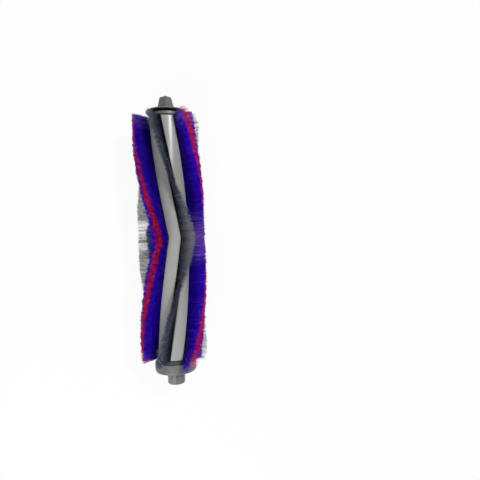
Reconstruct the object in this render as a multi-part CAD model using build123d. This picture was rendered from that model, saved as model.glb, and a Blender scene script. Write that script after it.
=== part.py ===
from build123d import *
import math
import os

# Roller brush of a robot vacuum cleaner, lying on the floor on its pile. The axis runs along Y with
# the square drive at +Y, Z is up, and the origin is on the floor below the middle of the length.
# Lengths are millimetres and angles are degrees.

# Core: a hollow moulding with chevron slots for the strips.
core_radius = 10.8
core_half_length = 75.0
core_end_chamfer = 0.5
core_wall = 2.0            # between a slot's floor and the bore
chevron_angle = 71.0       # how far a slot winds round the core from its point to either end
strips_of_a_kind = 3       # pile strips, and as many bristle strips between them
first_pile_angle = -16.5   # the first pile strip's point, from straight up towards +X

# Slots: dovetails, wider at the floor than at the mouth.
slot_depth = 3.2
slot_widening = 1.0        # widening on each side from mouth to floor
slot_lip = 0.3             # chamfer along the mouth
slot_clearance = 0.12      # round a strip's backing
mouth_clearance = 0.2      # on each side of the pile where it leaves the slot

# Strips: two halves each, which meet at the chevron's point.
backing_height = 1.5
backing_overhang = 0.5     # past the core's end, up to the cap that keeps it in
row_gap = 0.1              # between a backing and its rows, and from row to row
butt_gap = 0.3             # between the two halves of a strip

# Pile: a centre row of another colour between a front row and a rear row.
pile_tip_radius = 21.2
pile_root_width = 2.2
pile_tip_width = 8.2
pile_edge_chamfer = 0.9
centre_root_width = 0.8
centre_tip_width = 5.0
pile_flare = 2.2           # how far the outermost tips stand past the core's end
pile_flare_start = 1.2     # height above the core where the end begins to fan out

# Bristles: a thin row whose tips bend over towards the ends, with its outer corner cut back there.
bristle_tip_radius = 20.3
bristle_root_width = 1.9
bristle_tip_width = 3.4
bristle_lean = 0.6         # of the tips at the chevron's point, towards the side it points to
bristle_end_lean = 2.4     # of the tips near the ends, towards the other side
bristle_bend_start = 12.0  # from the point to where the tips begin to bend over
bristle_bend_stop = 52.0   # from the point to where they have bent over
bristle_stations = 11      # sections that a half of the row is lofted through
bristle_corner_height = 2.5
bristle_corner_length = 4.0

# Flat spot of the soft rows where the roller lies on the floor.
flat_spot_depth = 1.0

# Drive end cap: stop ring, hair groove, thin flange and tapered square.
retaining_gap = 0.2        # between a backing's end and the stop ring
neck_clearance = 0.4       # between the neck and the backings round it
drive_ring_inset = 0.5     # its stop ring is this much smaller than the core
drive_ring_height = 1.7
hair_groove_radius = 7.2
hair_groove_height = 1.2
flange_radius = 12.6
flange_height = 0.7
flange_edge_round = 0.25
square_root_side = 8.5
square_tip_side = 5.3
square_height = 9.3
square_edge_round = 0.7
square_tip_chamfer = 0.4

# Idle end cap: stop ring and collar.
idle_ring_inset = 0.2
idle_ring_height = 1.4
collar_radius = 12.8
collar_height = 6.4
collar_round = 1.8
collar_lip_width = 1.1
collar_recess_depth = 0.8

# Plugs of both caps in the core's bore, with keys that carry the torque.
plug_length = 14.0
plug_clearance = 0.1
plug_chamfer = 0.8
key_count = 3
key_width = 2.0
key_height = 0.9
key_length = 9.0
key_clearance = 0.1

# Stub axle, washer, bush and clip at the idle end.
pin_radius = 2.0
pin_seat_length = 16.0     # held in the idle end cap
pin_seat_gap = 0.02
pin_nose = 1.0             # past the clip
pin_chamfer = 0.3
bush_radius = 5.4
bush_length = 7.35
bush_chamfer = 0.7
bush_running_gap = 0.05    # between the pin and the bush's bore
end_play = 0.15            # of the bush between washer and clip
washer_radius = 4.2
washer_thickness = 0.4
clip_radius = 3.3
clip_rim = 0.8
clip_thickness = 0.6
clip_lug_width = 1.1
clip_mouth_angle = 84.0
clip_groove_depth = 0.45
clip_groove_gap = 0.05
clip_recess_depth = 2.3
clip_recess_gap = 0.7      # round the clip in the bush's end

# Heights from the chevron's point, outwards along the axis.
slot_floor_radius = core_radius - slot_depth
bore_radius = slot_floor_radius - core_wall
backing_top_radius = slot_floor_radius + slot_clearance + backing_height
row_root_radius = backing_top_radius + row_gap
turn_per_mm = chevron_angle / core_half_length
neck_radius = slot_floor_radius - neck_clearance
stop_level = core_half_length + backing_overhang + retaining_gap
flange_base = stop_level + drive_ring_height + hair_groove_height
flange_top = flange_base + flange_height
drive_reach = flange_top + square_height
collar_base = stop_level + idle_ring_height
collar_face = collar_base + collar_height
bush_base = collar_face + washer_thickness + end_play
bush_face = bush_base + bush_length
clip_recess_floor = bush_face - clip_recess_depth
clip_base = clip_recess_floor + end_play
pin_face = clip_base + clip_thickness + pin_nose
clip_groove_radius = pin_radius - clip_groove_depth
axis_height = pile_tip_radius - flat_spot_depth
axis_shift = (bush_face - drive_reach) / 2


def row_half_width(root_width, tip_width, tip_radius, radius):
    """Half the width of a row of pile or bristles that widens evenly from its root to its tips."""
    share = (radius - row_root_radius) / (tip_radius - row_root_radius)
    return (root_width + (tip_width - root_width) * share) / 2


def mouth_half_width(root_width, tip_width, tip_radius):
    """Half the width of the slot mouth that a row leaves through."""
    return row_half_width(root_width, tip_width, tip_radius, core_radius) + mouth_clearance


pile_mouth = mouth_half_width(pile_root_width, pile_tip_width, pile_tip_radius)
bristle_mouth = mouth_half_width(bristle_root_width, bristle_tip_width, bristle_tip_radius)
bristle_mouth += bristle_end_lean * (core_radius - row_root_radius) / (bristle_tip_radius - row_root_radius)


def section_point(across, radius, angle=0.0):
    """A point of a section across the axis, given beside and along the ray at the angle."""
    turn = math.radians(angle)
    x = across * math.cos(turn) + radius * math.sin(turn)
    y = across * math.sin(turn) - radius * math.cos(turn)
    return (x, y)


def lip_radius(mouth):
    """How far from the axis a slot's chamfered lip begins, measured along the slot's ray."""
    return math.sqrt(core_radius**2 - (mouth + slot_lip) ** 2)


def dovetail_half_width(mouth, radius):
    """Half the width of a slot at a radius below its lip."""
    throat_radius = lip_radius(mouth) - slot_lip
    share = (throat_radius - radius) / (throat_radius - slot_floor_radius)
    return mouth + slot_widening * share


def core_section():
    """The core's outline: arcs of the round with a dovetail slot between each two."""
    step = 180 / strips_of_a_kind
    edges = []
    ends = []
    for place in range(2 * strips_of_a_kind):
        mouth = bristle_mouth if place % 2 else pile_mouth
        angle = first_pile_angle + place * step
        half = [
            (mouth + slot_lip, lip_radius(mouth)),
            (mouth, lip_radius(mouth) - slot_lip),
            (mouth + slot_widening, slot_floor_radius),
        ]
        corners = [(-across, radius) for across, radius in half] + half[::-1]
        points = [section_point(across, radius, angle) for across, radius in corners]
        edges.append(Polyline(*points))
        ends.append((points[0], points[-1]))
    for place, (start, stop) in enumerate(ends):
        crest = section_point(0, core_radius, first_pile_angle + (place + 0.5) * step)
        edges.append(ThreePointArc(stop, crest, ends[(place + 1) % len(ends)][0]))
    return make_face(edges).face()


def winding(section, length):
    """A section carried from the chevron's point to the idle end while it winds round the axis."""
    turn = turn_per_mm * length
    return Solid.extrude_linear_with_rotation(section, (0, 0, 0), (0, 0, -length), turn)


def turned(points):
    """A solid turned about the axis from (radius, height) points."""
    profile = Plane.XZ * make_face(Polyline(*points, close=True))
    return revolve(profile, Axis.Z)


def keys(clearance):
    """The keys on a cap's plug, or with a clearance the keyways for them, at the core's drive end."""
    rise = key_height + clearance
    width = key_width + 2 * clearance
    length = key_length + clearance
    root = bore_radius - plug_clearance - key_height
    block = Box(width, rise + key_height, length, align=(Align.CENTER, Align.MAX, Align.MAX))
    block = Pos(0, -root, core_half_length) * block
    return [Rot(0, 0, 360 * place / key_count) * block for place in range(key_count)]


def make_core():
    idle_half = winding(core_section(), core_half_length)
    core = idle_half + mirror(idle_half, Plane.XY)
    rim = core_radius - core_end_chamfer
    outside = core_radius + core_end_chamfer
    shoulder = core_half_length - 2 * core_end_chamfer
    core &= turned([
        (0, -core_half_length),
        (rim, -core_half_length),
        (outside, -shoulder),
        (outside, shoulder),
        (rim, core_half_length),
        (0, core_half_length),
    ])
    core -= Cylinder(bore_radius, 2 * core_half_length)
    for keyway in keys(key_clearance):
        core -= [keyway, mirror(keyway, Plane.XY)]
    return core


def plug_outline():
    """A cap's plug and the neck that seats on the core's end, as (radius, height) points."""
    plug_radius = bore_radius - plug_clearance
    plug_end = core_half_length - plug_length
    return [
        (0, plug_end),
        (plug_radius - plug_chamfer, plug_end),
        (plug_radius, plug_end + plug_chamfer),
        (plug_radius, core_half_length),
        (neck_radius, core_half_length),
        (neck_radius, stop_level),
    ]


def make_drive_cap():
    ring_radius = core_radius - drive_ring_inset
    ring_top = stop_level + drive_ring_height
    cap = turned(plug_outline() + [
        (ring_radius, stop_level),
        (ring_radius, ring_top),
        (hair_groove_radius, ring_top),
        (hair_groove_radius, flange_base),
        (flange_radius, flange_base),
        (flange_radius, flange_top),
        (0, flange_top),
    ])
    rims = cap.edges().filter_by(GeomType.CIRCLE).group_by(SortBy.RADIUS)[-1]
    cap = fillet(rims, flange_edge_round) + keys(0)
    tip_round = square_edge_round * square_tip_side / square_root_side
    root = RectangleRounded(square_root_side, square_root_side, square_edge_round)
    tip = RectangleRounded(square_tip_side, square_tip_side, tip_round)
    square = loft([Pos(0, 0, flange_top) * root, Pos(0, 0, drive_reach) * tip])
    square = chamfer(square.faces().sort_by(Axis.Z)[-1].edges(), square_tip_chamfer)
    return cap + Rot(0, 0, 45) * square


def make_idle_cap():
    ring_radius = core_radius - idle_ring_inset
    recess_floor = collar_base + collar_recess_depth
    cap = turned(plug_outline() + [
        (ring_radius, stop_level),
        (ring_radius, recess_floor),
        (collar_radius - collar_lip_width, recess_floor),
        (collar_radius - collar_lip_width, collar_base),
        (collar_radius, collar_base),
        (collar_radius, collar_face),
        (0, collar_face),
    ])
    outer_edge = cap.edges().filter_by(GeomType.CIRCLE).group_by(Axis.Z)[-1]
    cap = fillet(outer_edge, collar_round) + keys(0)
    seat_middle = collar_face - pin_seat_length / 2
    cap -= Pos(0, 0, seat_middle) * Cylinder(pin_radius + pin_seat_gap, pin_seat_length)
    return mirror(cap, Plane.XY)


def make_axle_pin():
    groove_base = clip_base - clip_groove_gap
    groove_top = clip_base + clip_thickness + clip_groove_gap
    seat_end = collar_face - pin_seat_length
    pin = turned([
        (0, seat_end),
        (pin_radius - pin_chamfer, seat_end),
        (pin_radius, seat_end + pin_chamfer),
        (pin_radius, groove_base),
        (clip_groove_radius, groove_base),
        (clip_groove_radius, groove_top),
        (pin_radius, groove_top),
        (pin_radius, pin_face - pin_chamfer),
        (pin_radius - pin_chamfer, pin_face),
        (0, pin_face),
    ])
    return mirror(pin, Plane.XY)


def make_thrust_washer():
    disc = Circle(washer_radius) - Circle(pin_radius + bush_running_gap)
    washer = extrude(Pos(0, 0, collar_face) * disc, washer_thickness)
    return mirror(washer, Plane.XY)


def make_bush():
    bore = pin_radius + bush_running_gap
    recess = clip_radius + clip_recess_gap
    bush = turned([
        (bore, bush_base),
        (bush_radius, bush_base),
        (bush_radius, bush_face - bush_chamfer),
        (bush_radius - bush_chamfer, bush_face),
        (recess, bush_face),
        (recess, clip_recess_floor),
        (bore, clip_recess_floor),
    ])
    return mirror(bush, Plane.XY)


def make_retaining_clip():
    half_mouth = math.radians(clip_mouth_angle / 2)
    reach = 2 * clip_radius
    across = reach * math.sin(half_mouth)
    along = reach * math.cos(half_mouth)
    mouth = make_face(Polyline((0, 0), (across, -along), (-across, -along), close=True))
    clip = Circle(clip_radius) - Circle(clip_radius - clip_rim) - mouth
    lug_root = clip_groove_radius + clip_groove_gap
    lug_length = clip_radius - clip_rim / 2 - lug_root
    lug = Pos(0, lug_root + lug_length / 2) * Rectangle(clip_lug_width, lug_length)
    clip += [Rot(0, 0, turn) * lug for turn in (-120, 0, 120)]
    return mirror(extrude(Pos(0, 0, clip_base) * clip, clip_thickness), Plane.XY)


def backing_section(mouth):
    """The dovetail backing in a slot, clear of the slot's floor and flanks."""
    base = slot_floor_radius + slot_clearance
    base_half = dovetail_half_width(mouth, base) - slot_clearance
    top_half = dovetail_half_width(mouth, backing_top_radius) - slot_clearance
    corners = [
        (-base_half, base),
        (base_half, base),
        (top_half, backing_top_radius),
        (-top_half, backing_top_radius),
    ]
    return make_face(Polyline(*[section_point(*corner) for corner in corners], close=True)).face()


def row_section(inner, outer, tip_radius, chamfered=False):
    """A row of pile between two flanks, each given as its place at the root and at the tips."""
    root = [(inner[0], row_root_radius), (outer[0], row_root_radius)]
    start = outer[1]
    flank = []
    if chamfered:
        start = outer[1] - pile_edge_chamfer
        shoulder = math.sqrt(tip_radius**2 - outer[1] ** 2) - pile_edge_chamfer
        share = (shoulder - row_root_radius) / (tip_radius - row_root_radius)
        flank = [(outer[0] + (outer[1] - outer[0]) * share, shoulder)]
    stations = (start, (start + inner[1]) / 2, inner[1])
    tips = [(across, math.sqrt(tip_radius**2 - across**2)) for across in stations]
    path = [section_point(*point) for point in [tips[2]] + root + flank + [tips[0]]]
    arc = ThreePointArc(*[section_point(*point) for point in tips])
    return make_face([Polyline(*path), arc]).face()


def row_envelope(corners, reach):
    """The room of a half strip's row: from the butt gap to the row's end, out to a reach."""
    return turned([(0, -butt_gap / 2), (reach, -butt_gap / 2)] + corners)


def pile_envelope():
    fan_root = core_radius + pile_flare_start
    slope = pile_flare / (pile_tip_radius - fan_root)
    reach = pile_tip_radius + 1
    end = core_half_length
    corners = [(reach, -end - slope * (reach - fan_root)), (fan_root, -end), (0, -end)]
    return row_envelope(corners, reach)


def bristle_envelope():
    corner_root = bristle_tip_radius - bristle_corner_height
    slope = bristle_corner_length / bristle_corner_height
    reach = bristle_tip_radius + 1
    end = core_half_length
    corners = [(reach, -end + slope * (reach - corner_root)), (corner_root, -end), (0, -end)]
    return row_envelope(corners, reach)


def make_pile_strip():
    """The pieces of a pile strip's idle half, with its point straight up."""
    half_root = pile_root_width / 2
    half_tip = pile_tip_width / 2
    centre_root = centre_root_width / 2
    centre_tip = centre_tip_width / 2
    seam = (centre_root + row_gap, centre_tip + row_gap)
    length = core_half_length + 2 * pile_flare
    room = pile_envelope()
    front = row_section(seam, (half_root, half_tip), pile_tip_radius, chamfered=True)
    centre = row_section((-centre_root, -centre_tip), (centre_root, centre_tip), pile_tip_radius)
    rear = mirror(front, Plane.YZ).face()
    return {
        "pile_backing": make_backing(pile_mouth),
        "front_pile": winding(front, length) & room,
        "centre_pile": winding(centre, length) & room,
        "rear_pile": winding(rear, length) & room,
    }


def bristle_station(distance):
    """The bristle row's section at a distance from the point, with its tips bent over as far as there."""
    share = (distance - bristle_bend_start) / (bristle_bend_stop - bristle_bend_start)
    share = min(max(share, 0), 1)
    bent = share**2 * (3 - 2 * share)
    lean = bristle_lean - (bristle_lean + bristle_end_lean) * bent
    root = bristle_root_width / 2
    tip = bristle_tip_width / 2
    section = row_section((-root, lean - tip), (root, lean + tip), bristle_tip_radius)
    return Pos(0, 0, -distance) * Rot(0, 0, -turn_per_mm * distance) * section


def make_bristle_strip():
    """The pieces of a bristle strip's idle half, with its point straight up."""
    step = core_half_length / (bristle_stations - 1)
    row = loft([bristle_station(step * place) for place in range(bristle_stations)])
    return {
        "bristle_backing": make_backing(bristle_mouth),
        "bristle_row": row & bristle_envelope(),
    }


def make_backing(mouth):
    end = core_half_length + backing_overhang
    room = turned([(0, -butt_gap / 2), (core_radius, -butt_gap / 2), (core_radius, -end), (0, -end)])
    return winding(backing_section(mouth), end + butt_gap) & room


def lay_down(piece):
    """Lays a piece of the upright roller on the floor, with the square drive towards +Y."""
    return Pos(0, axis_shift, axis_height) * Rot(-90, 0, 0) * piece


def flattened(row):
    """Takes off what would reach below the floor."""
    if row.bounding_box().min.Z >= 0:
        return row
    size = 4 * core_half_length
    return row - Box(size, size, size, align=(Align.CENTER, Align.CENTER, Align.MAX))


pieces = {
    "roller_core": lay_down(make_core()),
    "drive_end_cap": lay_down(make_drive_cap()),
    "idle_end_cap": lay_down(make_idle_cap()),
    "axle_pin": lay_down(make_axle_pin()),
    "thrust_washer": lay_down(make_thrust_washer()),
    "end_bush": lay_down(make_bush()),
    "retaining_clip": lay_down(make_retaining_clip()),
}
slot_step = 180 / strips_of_a_kind
for offset, strip in ((0, make_pile_strip()), (slot_step, make_bristle_strip())):
    for place in range(strips_of_a_kind):
        angle = first_pile_angle + offset + 2 * slot_step * place
        for name, idle_piece in strip.items():
            halves = {"drive": mirror(idle_piece, Plane.XY), "idle": idle_piece}
            for end, half in halves.items():
                pieces[f"{name}_{place + 1}_{end}"] = flattened(lay_down(Rot(0, 0, angle) * half))

os.makedirs("parts", exist_ok=True)
for name, piece in pieces.items():
    export_step(piece.solid(), f"parts/{name}.step")
print(len(pieces), "pieces")
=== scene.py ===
import math

import bpy
import numpy as np
from mathutils import Matrix, Vector


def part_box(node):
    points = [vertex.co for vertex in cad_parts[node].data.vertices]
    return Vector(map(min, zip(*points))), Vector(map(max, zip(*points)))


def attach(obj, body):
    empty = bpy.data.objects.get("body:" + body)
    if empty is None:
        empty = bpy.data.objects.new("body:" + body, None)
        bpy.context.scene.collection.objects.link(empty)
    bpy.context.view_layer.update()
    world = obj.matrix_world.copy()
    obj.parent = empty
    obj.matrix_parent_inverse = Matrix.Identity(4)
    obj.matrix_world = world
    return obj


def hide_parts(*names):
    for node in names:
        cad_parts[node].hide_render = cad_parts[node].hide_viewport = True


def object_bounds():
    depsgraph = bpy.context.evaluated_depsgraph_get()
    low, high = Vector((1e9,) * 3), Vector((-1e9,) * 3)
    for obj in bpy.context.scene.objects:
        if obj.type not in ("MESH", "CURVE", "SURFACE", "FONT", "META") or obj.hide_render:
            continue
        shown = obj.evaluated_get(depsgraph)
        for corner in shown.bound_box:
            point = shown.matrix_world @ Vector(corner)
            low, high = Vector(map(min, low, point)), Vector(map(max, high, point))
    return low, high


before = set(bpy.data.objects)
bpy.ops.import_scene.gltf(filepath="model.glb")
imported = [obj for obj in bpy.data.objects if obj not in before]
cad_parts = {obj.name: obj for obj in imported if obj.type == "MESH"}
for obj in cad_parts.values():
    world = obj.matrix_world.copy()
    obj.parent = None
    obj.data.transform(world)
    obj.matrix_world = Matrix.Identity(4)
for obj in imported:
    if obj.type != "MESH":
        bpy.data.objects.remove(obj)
cadLow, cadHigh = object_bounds()
mm = 0.001

# the roller as packed: axis along Y, the chevron's point at the middle of the core
coreLow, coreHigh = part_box("roller_core")
roller = {
    "axisHeight": (coreLow.z + coreHigh.z) / 2,
    "pointY": (coreLow.y + coreHigh.y) / 2,
    "coreRadius": (coreHigh.x - coreLow.x) / 2,
    "halfLength": (coreHigh.y - coreLow.y) / 2,
    "winding": math.radians(71.0),       # of a strip, from its point to either end
    "firstPile": math.radians(-16.5),    # the first pile strip's point, from straight up towards +X
    "stripCount": 3,
    "floor": cadLow.z,
}
roller["turnRate"] = roller["winding"] / roller["halfLength"]
roller["spacing"] = 2 * math.pi / roller["stripCount"]
sides = {"drive": 1, "idle": -1}  # a strip's halves, by the way they run along Y
print("frame loaded: core", round(2 * roller["coreRadius"] / mm, 1), "mm across")


# a socket that takes part in Python arithmetic
class Wire:
    def __init__(self, tree, socket=None):
        self.tree = tree
        self.socket = socket

    def node(self, kind, settings=None, sockets=None, out=0):
        made = self.tree.nodes.new(kind)
        for key, value in (settings or {}).items():
            setattr(made, key, value)
        for key, value in (sockets or {}).items():
            if isinstance(value, Wire):
                self.tree.links.new(value.socket, made.inputs[key])
            else:
                made.inputs[key].default_value = value
        return Wire(self.tree, made.outputs[out])

    def maths(self, operation, first, second=0.0):
        return self.node("ShaderNodeMath", {"operation": operation}, {0: first, 1: second})

    def __add__(self, other):
        return self.maths("ADD", self, other)

    def __sub__(self, other):
        return self.maths("SUBTRACT", self, other)

    def __rsub__(self, other):
        return self.maths("SUBTRACT", other, self)

    def __mul__(self, other):
        return self.maths("MULTIPLY", self, other)

    def __pow__(self, other):
        return self.maths("POWER", self, other)

    __radd__ = __add__

    def ease(self, low, high):  # 0 below low, 1 above high, smooth between
        limits = {"From Min": low, "From Max": high}
        settings = {"interpolation_type": "SMOOTHSTEP"}
        return self.node("ShaderNodeMapRange", settings, {"Value": self, **limits})

    def blend(self, first, second):  # a colour between two, by this value
        return self.node("ShaderNodeMix", {"data_type": "RGBA"}, {"Factor": self, 6: first, 7: second}, out=2)

    def noise(self, scale, detail=2.0, stretch=None):  # cloudy values round 0.5 in Object space
        place = self.node("ShaderNodeTexCoord", out="Object")
        if stretch:
            place = self.node("ShaderNodeMapping", None, {"Vector": place, "Scale": stretch})
        return self.node("ShaderNodeTexNoise", None, {"Vector": place, "Scale": scale, "Detail": detail})


def newFinish(name, constants):
    made = bpy.data.materials.new(name)
    made.use_nodes = True
    shader = made.node_tree.nodes["Principled BSDF"]
    for socket, value in constants.items():
        shader.inputs[socket].default_value = value
    return made, Wire(made.node_tree), shader


def feed(wire, shader, socket):
    wire.tree.links.new(wire.socket, shader.inputs[socket])


def objectAxes(board):
    place = board.node("ShaderNodeTexCoord", out="Object")
    return [board.node("ShaderNodeSeparateXYZ", None, {0: place}, out=axis) for axis in "XYZ"]


dustAndHighlightMix = {"toneWeight": 0.6, "driftWeight": 0.8, "span": 0.5, "wearAndHighlightLeast": 0.4}


# a strand's colour: from painted shade at its root to its lit tip, each strand a little lighter or darker,
# with a cloudy drift over the strip, paler, dusty tips here and there, and paler where it is scuffed and
# where a highlight is painted
def strandFinish(name, look):
    made, board, shader = newFinish(name, look["constants"])
    along = board.node("ShaderNodeAttribute", {"attribute_name": "along"}, out="Fac")
    tone = board.node("ShaderNodeAttribute", {"attribute_name": "tone"}, out="Fac")
    drift = board.noise(look["driftScale"])
    lit = along * (tone * look["toneShare"] + (1 - look["toneShare"]))
    colour = lit.blend(look["root"], look["tip"])
    wearAndHighlight = board.node("ShaderNodeAttribute", {"attribute_name": "wearAndHighlight"}, out="Fac")
    dust = tone * dustAndHighlightMix["toneWeight"] + drift * dustAndHighlightMix["driftWeight"]
    dusty = dust.ease(look["fadeFrom"], look["fadeFrom"] + dustAndHighlightMix["span"]) * look["fadeShare"]
    # paler strands: random dusty tips, scuffing, and painted highlights
    dustAndHighlight = board.maths("MAXIMUM", dusty * along, wearAndHighlight * (dustAndHighlightMix["wearAndHighlightLeast"] + tone))
    colour = board.maths("MINIMUM", dustAndHighlight, 1.0).blend(colour, look["dustAndHighlight"])
    feed(colour, shader, "Base Color")
    feed(tone * look["roughRange"] + look["roughness"], shader, "Roughness")
    return made


# the roots' colours are darker than the tips': painted shade at the foot of the rows
violetLook = {
    "root": (0.010, 0.0004, 0.260, 1), "tip": (0.045, 0.001, 0.720, 1), "dustAndHighlight": (0.290, 0.140, 0.700, 1),
    "toneShare": 0.55, "driftScale": 160.0, "fadeFrom": 0.80, "fadeShare": 0.35,
    "roughness": 0.30, "roughRange": 0.12,
    "constants": {"Specular IOR Level": 0.10},
}
crimsonLook = {
    "root": (0.150, 0.002, 0.090, 1), "tip": (0.840, 0.013, 0.200, 1), "dustAndHighlight": (0.800, 0.170, 0.400, 1),
    "toneShare": 0.70, "driftScale": 190.0, "fadeFrom": 0.75, "fadeShare": 0.60,
    "roughness": 0.40, "roughRange": 0.12,
    "constants": {"Specular IOR Level": 0.12},
}
bristleLook = {
    "root": (0.100, 0.117, 0.175, 1), "tip": (0.104, 0.122, 0.182, 1), "dustAndHighlight": (0.490, 0.478, 0.455, 1),
    "toneShare": 0.60, "driftScale": 140.0, "fadeFrom": 0.80, "fadeShare": 0.40,
    "roughness": 0.22, "roughRange": 0.12,
    "constants": {"Specular IOR Level": 0.9},
}
strandFinishes = {
    "violet_pile": strandFinish("VioletPile", violetLook),
    "crimson_pile": strandFinish("CrimsonPile", crimsonLook),
    "dark_bristle": strandFinish("DarkBristle", bristleLook),
}
moulding = {"rubLimits": (0.56, 0.72), "cloudShare": 0.7, "grainRelief": 0.7, "reliefHeight": 0.02 * mm}


# moulded plastic: a cloudy tint, a fine satin grain and faint rubbed marks that run one way
def mouldedFinish(name, look):
    made, board, shader = newFinish(name, look["constants"])
    cloud = board.noise(look["cloudScale"], 3.0, look["cloudStretch"])
    grain = board.noise(look["grainScale"], 1.0)
    rubs = board.noise(look["rubScale"], 2.0, look["rubStretch"]).ease(*moulding["rubLimits"])
    cloudy = cloud * moulding["cloudShare"] + grain * (1 - moulding["cloudShare"])
    colour = cloudy.blend(look["dark"], look["light"])
    colour = (rubs * look["rubShare"]).blend(colour, look["rubbed"])
    return made, board, shader, colour, grain, rubs


def finishMoulded(board, shader, look, colour, grain, rubs):
    feed(colour, shader, "Base Color")
    feed(look["roughness"] + grain * look["roughRange"] + rubs * look["rubRough"], shader, "Roughness")
    relief = grain * moulding["grainRelief"] + rubs * (1 - moulding["grainRelief"])
    sockets = {"Strength": look["bump"], "Distance": moulding["reliefHeight"], "Height": relief}
    bump = board.node("ShaderNodeBump", None, sockets)
    feed(bump, shader, "Normal")


coreLook = {
    "dark": (0.365, 0.369, 0.346, 1), "light": (0.430, 0.434, 0.408, 1), "rubbed": (0.500, 0.502, 0.475, 1),
    # the dark colour in and by the slots is painted shade
    "dust": (0.200, 0.200, 0.205, 1), "slotShadeShare": 0.55,
    "slotEdge": math.radians(10.0), "slotShadeReach": math.radians(3.2),
    "cloudScale": 70.0, "cloudStretch": (1, 1, 1), "grainScale": 2600.0,
    "rubScale": 240.0, "rubStretch": (1, 0.06, 1), "rubShare": 0.25,
    "roughness": 0.24, "roughRange": 0.08, "rubRough": 0.06, "bump": 0.25,
    "constants": {"Specular IOR Level": 0.5},
}


# the core's plastic, with painted shade, dark, in and along its slots: the angle round the axis, unwound by
# the chevron's turn, comes round once for each slot
def coreFinish(look):
    made, board, shader, colour, grain, rubs = mouldedFinish("CorePlastic", look)
    x, y, z = objectAxes(board)
    angle = board.maths("ARCTAN2", x, z - roller["axisHeight"])
    unwound = angle + board.maths("ABSOLUTE", y - roller["pointY"]) * roller["turnRate"] - roller["firstPile"]
    offset = board.maths("PINGPONG", unwound, roller["spacing"] / 4)
    dusty = 1 - offset.ease(look["slotEdge"], look["slotEdge"] + look["slotShadeReach"])
    # painted shade, dark, in and along each slot
    colour = (dusty * look["slotShadeShare"] * (0.5 + grain)).blend(colour, look["dust"])
    finishMoulded(board, shader, look, colour, grain, rubs)
    return made


capLook = {
    "dark": (0.130, 0.132, 0.131, 1), "light": (0.175, 0.177, 0.176, 1), "rubbed": (0.270, 0.270, 0.265, 1),
    "cloudScale": 160.0, "cloudStretch": (1, 1, 1), "grainScale": 2200.0,
    "rubScale": 420.0, "rubStretch": (1, 0.25, 1), "rubShare": 0.30,
    "roughness": 0.36, "roughRange": 0.12, "rubRough": 0.08, "bump": 0.40,
    "constants": {"Specular IOR Level": 0.5},
}
# the bush's tint runs in strong dark and light streaks along its axis
bushLook = {
    **capLook, "dark": (0.050, 0.050, 0.050, 1), "light": (0.300, 0.297, 0.290, 1),
    "rubbed": (0.420, 0.415, 0.410, 1), "cloudScale": 420.0, "cloudStretch": (1, 0.06, 1),
    "rubScale": 620.0, "rubStretch": (1, 0.05, 1), "rubShare": 0.60, "roughness": 0.22,
}
backingLook = {
    **capLook, "dark": (0.012, 0.012, 0.014, 1), "light": (0.020, 0.020, 0.023, 1),
    "rubbed": (0.040, 0.040, 0.042, 1), "roughness": 0.50,
}
washerLook = {
    **capLook, "dark": (0.560, 0.550, 0.520, 1), "light": (0.640, 0.630, 0.600, 1),
    "rubbed": (0.700, 0.690, 0.670, 1), "roughness": 0.38,
}
# painted shade, black, in the drive cap's groove and the idle cap's corner by the collar, and painted light
# on the neck beside the core
capShade = {
    "colour": (0.010, 0.010, 0.012, 1), "radius": 12.1 * mm, "fade": 0.3 * mm, "blur": 0.05 * mm,
    "neck": (0.600, 0.600, 0.590, 1), "neckEnd": 0.65 * mm,
    "drive": {"low": 2.35 * mm, "high": 3.70 * mm, "share": 0.95},
    "idle": {"low": 1.90 * mm, "high": 2.12 * mm, "share": 0.45},
}


# a cap's plastic, with painted shade, black, between two levels past the core's end, in the groove under the
# flange and the corner by the collar, and painted light on the neck beside the core, which lifts the shade in
# its gap
def capFinish(name, look, band):
    made, board, shader, colour, grain, rubs = mouldedFinish(name, look)
    x, y, z = objectAxes(board)
    z = z - roller["axisHeight"]
    radius = (x * x + z * z) ** 0.5
    level = board.maths("ABSOLUTE", y - roller["pointY"]) - roller["halfLength"]
    low, high, blur = band["low"], band["high"], capShade["blur"]
    paintedShade = level.ease(low - blur, low + blur) * (1 - level.ease(high - blur, high + blur))
    paintedShade = paintedShade * (1 - radius.ease(capShade["radius"] - capShade["fade"], capShade["radius"] + capShade["fade"]))
    # painted shade between the two levels
    colour = (paintedShade * band["share"]).blend(colour, capShade["colour"])
    # painted light on the neck, which lifts the shade in its gap
    colour = level.ease(capShade["neckEnd"] - blur, capShade["neckEnd"] + blur).blend(capShade["neck"], colour)
    finishMoulded(board, shader, look, colour, grain, rubs)
    return made


def plainMoulded(name, look):
    made, board, shader, colour, grain, rubs = mouldedFinish(name, look)
    finishMoulded(board, shader, look, colour, grain, rubs)
    return made


# turned steel: fine rings along the axis and a slight cloud in its polish
steelLook = {
    "dark": (0.460, 0.455, 0.445, 1), "light": (0.620, 0.615, 0.600, 1),
    "ringScale": 900.0, "ringStretch": (0.05, 1, 0.05), "ringShare": 0.6, "cloudScale": 220.0,
    "roughness": 0.22, "ringRough": 0.14, "cloudRough": 0.08,
    "constants": {"Metallic": 1.0},
}


def steelFinish(look):
    made, board, shader = newFinish("PinSteel", look["constants"])
    rings = board.noise(look["ringScale"], 2.0, look["ringStretch"])
    cloud = board.noise(look["cloudScale"], 2.0)
    tint = rings * look["ringShare"] + cloud * (1 - look["ringShare"])
    feed(tint.blend(look["dark"], look["light"]), shader, "Base Color")
    feed(look["roughness"] + rings * look["ringRough"] + cloud * look["cloudRough"], shader, "Roughness")
    return made


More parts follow.
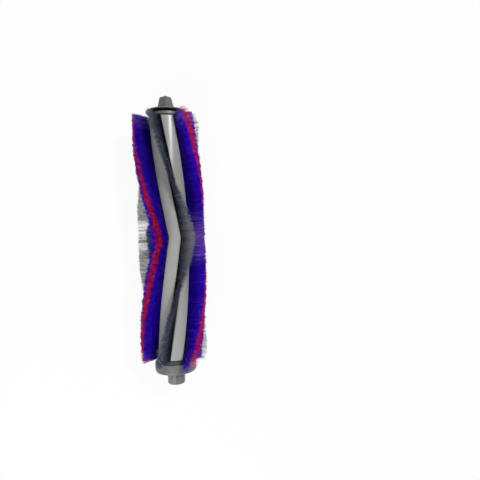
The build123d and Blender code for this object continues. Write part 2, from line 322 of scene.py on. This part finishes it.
rigidFinishes = {
    "roller_core": coreFinish(coreLook),
    "drive_end_cap": capFinish("DriveCapPlastic", capLook, capShade["drive"]),
    "idle_end_cap": capFinish("IdleCapPlastic", capLook, capShade["idle"]),
    "end_bush": plainMoulded("BushPlastic", bushLook),
    "thrust_washer": plainMoulded("WasherPlastic", washerLook),
    "axle_pin": steelFinish(steelLook),
    "retaining_clip": steelFinish(steelLook),
}
backingPlastic = plainMoulded("BackingPlastic", backingLook)
for nodeName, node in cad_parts.items():
    finish = rigidFinishes.get(nodeName)
    if "backing" in nodeName:
        finish = backingPlastic
    if finish:
        for materialSlot in node.material_slots:
            materialSlot.material = finish
print("finishes made for", len(rigidFinishes), "rigid nodes and the backings")


# a place beside the axis: out along the ray at an angle, across it, and along the roller
def rollerPoint(angle, radius, across, along):
    x = radius * np.sin(angle) + across * np.cos(angle)
    z = radius * np.cos(angle) - across * np.sin(angle) + roller["axisHeight"]
    return np.stack([x, along + roller["pointY"], z], axis=-1)


# a strip's angle at a distance from its point: it winds back evenly, and the point is rounded
def stripAngle(pointAngle, distance, rounding):
    return pointAngle - roller["turnRate"] * np.sqrt(distance**2 + rounding**2)


# an uneven drift along a strip: a few sine waves of different lengths and random starts
def drifting(waves, dice):
    lengths = np.array(waves) * mm
    starts = dice.uniform(0, 2 * math.pi, len(waves))

    def drift(distance):
        swings = np.sin(2 * math.pi * distance[:, None] / lengths + starts)
        return swings.mean(axis=1) * math.sqrt(2)

    return drift


def smoothStep(value):
    held = np.clip(value, 0, 1)
    return held * held * (3 - 2 * held)


# what all strands share: where one is bowed, its range of width and tone, and how it strays and fans out
habit = {
    "bend": 0.55, "widthRange": (0.75, 1.2), "toneFrom": 0.275, "toneRange": 0.45, "tuftTone": 0.22,
    "axialStray": 1.5, "fanEdge": 0.3, "fanRange": (0.4, 1.4), "edgePower": 5, "cellsAcross": 40,
}


# strands of a row: each is a ring of three corners carried from a root in the slot, over a bowed
# middle, to a blunt tip, and closed at both ends
def strandMesh(name, root, tip, bow, sideways, width, taper, tone, wearAndHighlight):
    count = len(root)
    cornerCount = 9  # of a strand, in three rings
    middle = (1 - habit["bend"]) * root + habit["bend"] * tip + bow
    corners = np.arange(3) * 2 * math.pi / 3
    lengthways = np.array([0.0, 1.0, 0.0])
    ring = np.cos(corners)[:, None] * sideways[:, None, :] + np.sin(corners)[:, None] * lengthways
    stations = np.stack([root, middle, tip], axis=1)
    spread = (width[:, None] * np.array([1.0, 1.0, taper]))[:, :, None, None] * ring[:, None]
    places = (stations[:, :, None] + spread).reshape(-1, 3)
    places[:, 2] = np.maximum(places[:, 2], roller["floor"])
    first = np.arange(6)
    after = first + np.array([1, 1, -2, 1, 1, -2])
    lower = np.stack([first, after, after + 3], axis=1)
    upper = np.stack([first, after + 3, first + 3], axis=1)
    pattern = np.concatenate([lower, upper, [[0, 2, 1], [6, 7, 8]]])
    faces = (pattern[None] + cornerCount * np.arange(count)[:, None, None]).reshape(-1, 3)
    along = np.tile(np.repeat([0.0, habit["bend"], 1.0], 3), count)
    mesh = bpy.data.meshes.new(name)
    mesh.vertices.add(cornerCount * count)
    mesh.vertices.foreach_set("co", places.astype(np.float32).ravel())
    mesh.loops.add(faces.size)
    mesh.loops.foreach_set("vertex_index", faces.astype(np.int32).ravel())
    mesh.polygons.add(len(faces))
    mesh.polygons.foreach_set("loop_start", np.arange(0, faces.size, 3, dtype=np.int32))
    mesh.polygons.foreach_set("use_smooth", np.ones(len(faces), dtype=bool))
    mesh.update(calc_edges=True)
    tone, wearAndHighlight = np.repeat(tone, cornerCount), np.repeat(wearAndHighlight, cornerCount)
    for key, values in (("along", along), ("tone", tone), ("wearAndHighlight", wearAndHighlight)):
        store = mesh.attributes.new(key, "FLOAT", "POINT")
        store.data.foreach_set("value", values.astype(np.float32))
    piece = bpy.data.objects.new(name, mesh)
    bpy.context.scene.collection.objects.link(piece)
    return piece


pile = {
    "firstPoint": roller["firstPile"], "tipRadius": 21.5 * mm, "rootDepth": 1.4 * mm,
    "rootWidth": 2.2 * mm, "tipWidth": 8.4 * mm, "centreRoot": 0.8 * mm, "centreTip": 4.7 * mm,
    "edgeDrop": 0.9 * mm, "frontDrop": {"drive": 0.1 * mm, "idle": 0.8 * mm}, "endDrop": 0.3 * mm,
    # a pile row grows paler at its end: partly scuffing, partly a painted highlight, as on the first strip's
    # front row at the drive end
    "ends": {  # how far a row fans out along the axis, the share of it that is gone, and its wear
        "front_pile": {"drive": (1.0 * mm, 0.30, 1.6), "idle": (-2.6 * mm, 0.30, 0.3)},
        "centre_pile": {"drive": (2.6 * mm, 0.40, 0.8), "idle": (2.8 * mm, 0.75, 1.0)},
        "rear_pile": {"drive": (0.2 * mm, 0.30, 1.4), "idle": (5.0 * mm, 0.40, 0.4)},
    },
    "endReach": 10.0 * mm, "splayReach": 24.0 * mm, "splay": {"drive": 1.2 * mm, "idle": 1.8 * mm},
    "endLean": {"drive": 1.3 * mm, "idle": 0.0}, "pointSpread": 1.2 * mm, "pointReach": 11.0 * mm,
    # the pale lilac strands about the second strip's point are a painted highlight
    "paintedRowHighlight": (0.0, 0.0, 0.0), "paintedPointHighlight": (0.0, 1.8, 0.0), "pointHighlightReach": 21.0 * mm, "wearAndHighlightSpread": 1.0,
    "pointRounding": 3.0 * mm, "waves": (2.9, 4.7, 7.1, 12.7), "sway": 0.50 * mm,
    "tuftSize": 1.2 * mm, "tuftPull": 0.40, "tuftLean": 0.34 * mm, "tuftLength": 0.30 * mm,
    "tipScatter": 0.26 * mm, "lengthScatter": 0.35 * mm, "strayShare": 0.10, "strayScatter": 0.9 * mm,
    "bow": 0.30 * mm, "strandRadius": 0.105 * mm, "taper": 0.7,
    "sideCount": 2800, "centreCount": 2700, "butt": 0.05 * mm,
}
bristles = {
    "firstPoint": roller["firstPile"] + roller["spacing"] / 2, "tipRadius": 20.3 * mm, "rootDepth": 1.4 * mm,
    "rootWidth": 1.9 * mm, "tipWidth": 3.4 * mm, "edgeDrop": 0.15 * mm, "pointRounding": 3.0 * mm,
    "lean": 0.6 * mm, "endLean": {"drive": -2.0 * mm, "idle": -2.4 * mm},
    "leanFrom": 5.0 * mm, "leanTo": 50.0 * mm, "cornerHeight": 2.5 * mm, "cornerLength": 4.0 * mm,
    "ends": {"bristle_row": {"drive": (2.2 * mm, 0.0, 0.0), "idle": (3.2 * mm, 0.10, 0.0)}},
    # the pale grey over the second and third strips' bristles, and about the first strip's point, is a
    # painted highlight
    "endReach": 9.0 * mm, "paintedRowHighlight": (0.0, 0.46, 0.46), "paintedPointHighlight": (0.42, 0.0, 0.0), "pointHighlightReach": 24.0 * mm,
    "wearAndHighlightSpread": 0.35, "waves": (1.9, 3.1, 5.3, 9.1), "sway": 0.20 * mm,
    "tuftSize": 1.6 * mm, "tuftPull": 0.12, "tuftLean": 0.14 * mm, "tuftLength": 0.20 * mm,
    "tipScatter": 0.20 * mm, "lengthScatter": 0.30 * mm, "strayShare": 0.03, "strayScatter": 0.8 * mm,
    "bow": 0.12 * mm, "strandRadius": 0.045 * mm, "taper": 0.9, "butt": 0.05 * mm,
    "counts": (4000, 1200, 1800), "bareShare": 0.66,
    "bare": {(2, "drive"): (0.6 * mm, 11.5 * mm), (2, "idle"): (2.5 * mm, 7.0 * mm)},  # strip and half
}


# places along a half strip, evenly spread with a random share of a step
def spreadAlong(plan, count, dice):
    steps = (np.arange(count) + dice.random(count)) / count
    return plan["butt"] + (roller["halfLength"] - plan["butt"]) * steps


# the tufts that a row's strands belong to: square cells along and across it, each with its own
# lean, length and tone, and a pull towards its middle
def tuftsOf(plan, distance, across, dice):
    cell = plan["tuftSize"]
    halfCells = habit["cellsAcross"] / 2
    column = (distance / cell).astype(int)
    row = np.floor(across / cell + halfCells).astype(int)
    manners = dice.normal(size=(4, column.max() + 1, habit["cellsAcross"]))
    lean, axial, length, tone = manners[:, column, row]
    inwards = np.stack([(column + 0.5) * cell - distance, (row + 0.5 - halfCells) * cell - across])
    return lean, axial, length, tone, plan["tuftPull"] * inwards


# a half strip's row: strands spread over its length and width, from the width at the roots to the
# width at the tips, swaying together and gathered in tufts, and fanned out at the row's end
def strandRow(plan, rowName, strip, half, rootEdges, tipEdges, count, sway, dice):
    side = sides[half]
    flare, gone, endWearAndHighlight = plan["ends"][rowName][half]
    pointAngle = plan["firstPoint"] + strip * roller["spacing"]
    distance = spreadAlong(plan, count, dice)
    distance = distance[dice.random(count) > thinning(plan, strip, half, distance, gone)]
    fromEnd = roller["halfLength"] - distance
    nearEnd = smoothStep(1 - fromEnd / plan["endReach"])
    count = len(distance)
    share = dice.random(count)
    rootAcross = rootEdges[0] + (rootEdges[1] - rootEdges[0]) * share
    evenAcross = tipEdges[0] + (tipEdges[1] - tipEdges[0]) * share
    outermost = np.abs(evenAcross) / max(abs(tipEdges[0]), abs(tipEdges[1]))
    lean, axial, length, tone, gather = tuftsOf(plan, distance, evenAcross, dice)
    stray = np.where(dice.random(count) < plan["strayShare"], plan["strayScatter"], plan["tipScatter"])
    tipAcross = evenAcross + gather[1] + plan["tuftLean"] * lean + plan["sway"] * sway(distance)
    tipAcross = tipAcross + stray * dice.normal(size=count) + sideShift(plan, half, distance, evenAcross)
    tipDistance = distance + gather[0] + plan["tuftLean"] * axial
    tipDistance = tipDistance + habit["axialStray"] * stray * dice.normal(size=count)
    fan = flare * nearEnd * (1 - habit["fanEdge"] * outermost**2)
    tipDistance = tipDistance + fan * dice.uniform(*habit["fanRange"], count)
    reach = np.sqrt(plan["tipRadius"] ** 2 - tipAcross**2)
    reach = reach - plan["edgeDrop"] * outermost ** habit["edgePower"]
    reach = reach + plan["tuftLength"] * length - plan["lengthScatter"] * np.abs(dice.normal(size=count))
    reach = reach - shortening(plan, rowName, half, fromEnd)
    rootRadius = np.full(count, roller["coreRadius"] - plan["rootDepth"])
    root = rollerPoint(stripAngle(pointAngle, distance, 0.0), rootRadius, rootAcross, side * distance)
    tipAngle = stripAngle(pointAngle, tipDistance, plan["pointRounding"])
    tip = rollerPoint(tipAngle, reach, tipAcross, side * tipDistance)
    tone = habit["toneRange"] * dice.random(count) + habit["toneFrom"] + habit["tuftTone"] * tone
    tone = np.clip(tone, 0, 1)
    # painted highlight: paler strands about a strip's point
    rubbed = plan["paintedPointHighlight"][strip] * smoothStep(1 - distance / plan["pointHighlightReach"])
    wearAndHighlight = (plan["paintedRowHighlight"][strip] + rubbed + endWearAndHighlight * nearEnd) * (1 - plan["wearAndHighlightSpread"] * dice.random(count))
    return root, tip, tone, wearAndHighlight, distance


# the share of a row's strands that is gone: towards its end, and in a strip's bare patch
def thinning(plan, strip, half, distance, gone):
    towardsEnd = gone * smoothStep(1 - (roller["halfLength"] - distance) / plan["endReach"])
    low, high = plan.get("bare", {}).get((strip, half), (0.0, 0.0))
    return np.where((distance > low) & (distance < high), plan.get("bareShare", 0.0), towardsEnd)


# how far a row's tips stand aside: pile spreads both ways and leans near its end, and its rear spreads
# at the point, while bristles lean one way at the point and bend over the other way towards the end
def sideShift(plan, half, distance, evenAcross):
    if "splay" in plan:
        far = smoothStep(1 - (roller["halfLength"] - distance) / plan["splayReach"])
        near = smoothStep(1 - distance / plan["pointReach"])
        share = evenAcross * 2 / plan["tipWidth"]
        spread = plan["splay"][half] * far * share + plan["pointSpread"] * near * np.minimum(share, 0)
        return spread + plan["endLean"][half] * far
    far = smoothStep((distance - plan["leanFrom"]) / (plan["leanTo"] - plan["leanFrom"]))
    return (plan["endLean"][half] - plan["lean"]) * far


# how much shorter a row's strands are: bristles have their corner cut at the end, and pile is worn
# down a little there, with the front row shorter all along
def shortening(plan, rowName, half, fromEnd):
    if "cornerHeight" in plan:
        return plan["cornerHeight"] * np.clip(1 - fromEnd / plan["cornerLength"], 0, 1)
    frontDrop = plan["frontDrop"][half] if rowName == "front_pile" else 0.0
    return frontDrop + plan["endDrop"] * smoothStep(1 - fromEnd / plan["splayReach"])


fluff = {
    "count": 400, "aside": 0.3 * mm, "rootDepth": 0.4 * mm, "tipAside": (0.3 * mm, 0.9 * mm),
    "tipHeight": (0.6 * mm, 2.6 * mm), "stray": 0.8 * mm, "toneRange": 0.6,
}


# fluff along the foot of a pile strip's flank: short strands out of the slot's mouth, over its edge
def flankFluff(plan, strip, half, outwards, dice):
    side = sides[half]
    pointAngle = plan["firstPoint"] + strip * roller["spacing"]
    count = fluff["count"]
    distance = spreadAlong(plan, count, dice)
    mouth = plan["rootWidth"] / 2 + fluff["aside"]
    rootAngle = stripAngle(pointAngle, distance, 0.0)
    rootRadius = np.full(count, roller["coreRadius"] - fluff["rootDepth"])
    root = rollerPoint(rootAngle, rootRadius, np.full(count, outwards * mouth), side * distance)
    tipAcross = outwards * (mouth + dice.uniform(*fluff["tipAside"], count))
    tipRadius = roller["coreRadius"] + dice.uniform(*fluff["tipHeight"], count)
    tipDistance = distance + fluff["stray"] * dice.normal(size=count)
    tip = rollerPoint(stripAngle(pointAngle, tipDistance, 0.0), tipRadius, tipAcross, side * tipDistance)
    return root, tip, dice.random(count) * fluff["toneRange"], np.zeros(count), distance


# one mesh of several sets of strands, each bowed at random across and along the strip
def strandPiece(name, plan, strip, sets, dice):
    root, tip, tone, wearAndHighlight, distance = [np.concatenate(parts) for parts in zip(*sets)]
    count = len(root)
    angle = stripAngle(plan["firstPoint"] + strip * roller["spacing"], distance, 0.0)
    sideways = np.stack([np.cos(angle), np.zeros(count), -np.sin(angle)], axis=-1)
    lengthways = np.array([0.0, 1.0, 0.0])
    bow = dice.normal(size=(count, 1)) * sideways + dice.normal(size=(count, 1)) * lengthways
    bow = bow * plan["bow"] * np.linalg.norm(tip - root, axis=1, keepdims=True) / plan["tipRadius"] * 2
    width = plan["strandRadius"] * dice.uniform(*habit["widthRange"], count)
    piece = strandMesh(name, root, tip, bow, sideways, width, plan["taper"], tone, wearAndHighlight)
    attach(piece, "roller")
    return piece


def dress(piece, node, slotName):
    piece.data.materials.append(strandFinishes[slotName])
    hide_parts(node)


# all three rows of a pile strip's half sway as one, the violet flanks with fluff at their feet
def layPile(strip, half, dice):
    outerRoot, outerTip = pile["rootWidth"] / 2, pile["tipWidth"] / 2
    innerRoot, innerTip = pile["centreRoot"] / 2, pile["centreTip"] / 2
    sway = drifting(pile["waves"], dice)
    laid = 0
    for rowName, outwards in (("front_pile", 1), ("centre_pile", 0), ("rear_pile", -1)):
        rootEdges, tipEdges = (-innerRoot, innerRoot), (-innerTip, innerTip)
        count = pile["centreCount"]
        if outwards:
            rootEdges = (outwards * innerRoot, outwards * outerRoot)
            tipEdges = (outwards * innerTip, outwards * outerTip)
            count = pile["sideCount"]
        sets = [strandRow(pile, rowName, strip, half, rootEdges, tipEdges, count, sway, dice)]
        if outwards:
            sets.append(flankFluff(pile, strip, half, outwards, dice))
        node = f"{rowName}_{strip + 1}_{half}"
        row = strandPiece(f"{node}_strands", pile, strip, sets, dice)
        dress(row, node, "violet_pile" if outwards else "crimson_pile")
        laid += sum(len(strands[0]) for strands in sets)
    return laid


def layBristles(strip, half, dice):
    rootHalf, tipHalf = bristles["rootWidth"] / 2, bristles["tipWidth"] / 2
    edges = ((-rootHalf, rootHalf), (bristles["lean"] - tipHalf, bristles["lean"] + tipHalf))
    sway = drifting(bristles["waves"], dice)
    count = bristles["counts"][strip]
    strands = strandRow(bristles, "bristle_row", strip, half, *edges, count, sway, dice)
    node = f"bristle_row_{strip + 1}_{half}"
    row = strandPiece(f"{node}_strands", bristles, strip, [strands], dice)
    dress(row, node, "dark_bristle")
    return len(strands[0])


for strip in range(roller["stripCount"]):
    laid = 0
    for half, side in sides.items():
        dice = np.random.default_rng(100 * (strip + 1) + side)
        laid += layPile(strip, half, dice)
        laid += layBristles(strip, half, dice)
    print("strips", strip + 1, "laid with", laid, "strands")


# the photograph looks down on the roller, which leans a little and stands left of the middle
camera = {
    "lens": 32.25, "distance": 0.2747, "lean": math.radians(2.25), "aside": math.radians(9.12),
    "below": math.radians(0.25), "sensor": 36.0, "clipStart": 0.01,
}
imageRight = Vector((math.cos(camera["lean"]), -math.sin(camera["lean"]), 0))
imageUp = Vector((math.sin(camera["lean"]), math.cos(camera["lean"]), 0))
down = Vector((0, 0, -1))
forward = math.cos(camera["aside"]) * down + math.sin(camera["aside"]) * imageRight
forward = math.cos(camera["below"]) * forward - math.sin(camera["below"]) * imageUp
rightward = forward.cross(imageUp).normalized()
upward = rightward.cross(forward).normalized()
place = Vector((0, roller["pointY"], roller["axisHeight"] + camera["distance"]))
turned = Matrix((rightward, upward, -forward)).transposed().to_4x4()
eye = bpy.data.objects.new("Camera", bpy.data.cameras.new("Camera"))
eye.data.lens = camera["lens"]
eye.data.sensor_width = camera["sensor"]
eye.data.clip_start = camera["clipStart"]
eye.matrix_world = Matrix.Translation(place) @ turned
bpy.context.scene.collection.objects.link(eye)
bpy.context.scene.camera = eye
print("camera set", round(camera["distance"] / mm, 1), "mm above the axis")

studio = {
    "keyPlace": (0.30, 0.30, 0.68), "keySize": 0.18, "keyPower": 3.2,
    "fillPlace": (-0.18, -0.38, 0.36), "fillSize": 0.34, "fillPower": 1.55,
    "ambient": 0.25, "floorSize": 3.0, "floorGap": 0.05 * mm, "floorWhite": 0.92, "floorShown": 0.92,
}


def softbox(name, place, size, power):
    lamp = bpy.data.lights.new(name, "AREA")
    lamp.shape = "DISK"
    lamp.size = size
    lamp.energy = power
    box = bpy.data.objects.new(name, lamp)
    centre = Vector((0, roller["pointY"], roller["axisHeight"]))
    towards = (centre - Vector(place)).normalized()
    turned = towards.to_track_quat("-Z", "Y").to_matrix().to_4x4()
    box.matrix_world = Matrix.Translation(Vector(place)) @ turned
    bpy.context.scene.collection.objects.link(box)


softbox("KeyLight", studio["keyPlace"], studio["keySize"], studio["keyPower"])
softbox("FillLight", studio["fillPlace"], studio["fillSize"], studio["fillPower"])


# seen straight or in a reflection the floor is mostly its own white, so the shadow stays faint
def floorFinish():
    made = bpy.data.materials.new("PaleFloor")
    made.use_nodes = True
    board = Wire(made.node_tree)
    matt = board.node("ShaderNodeBsdfDiffuse", None, {"Color": (studio["floorWhite"],) * 3 + (1,)})
    white = board.node("ShaderNodeEmission", None, {"Strength": 1.0})
    straight = board.node("ShaderNodeLightPath", out="Is Camera Ray")
    mirrored = board.node("ShaderNodeLightPath", out="Is Glossy Ray")
    through = board.node("ShaderNodeLightPath", out="Is Transmission Ray")
    shown = board.maths("MINIMUM", straight + mirrored + through, 1.0) * studio["floorShown"]
    mixed = board.node("ShaderNodeMixShader", None, {0: shown, 1: matt, 2: white})
    feed(mixed, made.node_tree.nodes["Material Output"], "Surface")
    return made


reach = studio["floorSize"] / 2
level = roller["floor"] - studio["floorGap"]
floorMesh = bpy.data.meshes.new("Floor")
corners = [(-reach, -reach, level), (reach, -reach, level), (reach, reach, level), (-reach, reach, level)]
floorMesh.from_pydata(corners, [], [(0, 1, 2, 3)])
floorMesh.materials.append(floorFinish())
floor = bpy.data.objects.new("Floor", floorMesh)
bpy.context.scene.collection.objects.link(floor)

world = bpy.data.worlds.new("Studio")
world.use_nodes = True
sky = Wire(world.node_tree)
seen = sky.node("ShaderNodeLightPath", out="Is Camera Ray")
glow = sky.node("ShaderNodeMix", {"data_type": "FLOAT"}, {0: seen, 2: studio["ambient"], 3: 1.0})
feed(glow, world.node_tree.nodes["Background"], "Strength")
world.node_tree.nodes["Background"].inputs["Color"].default_value = (1, 1, 1, 1)
bpy.context.scene.world = world
bpy.context.scene.view_settings.view_transform = "Standard"
print("studio lit")
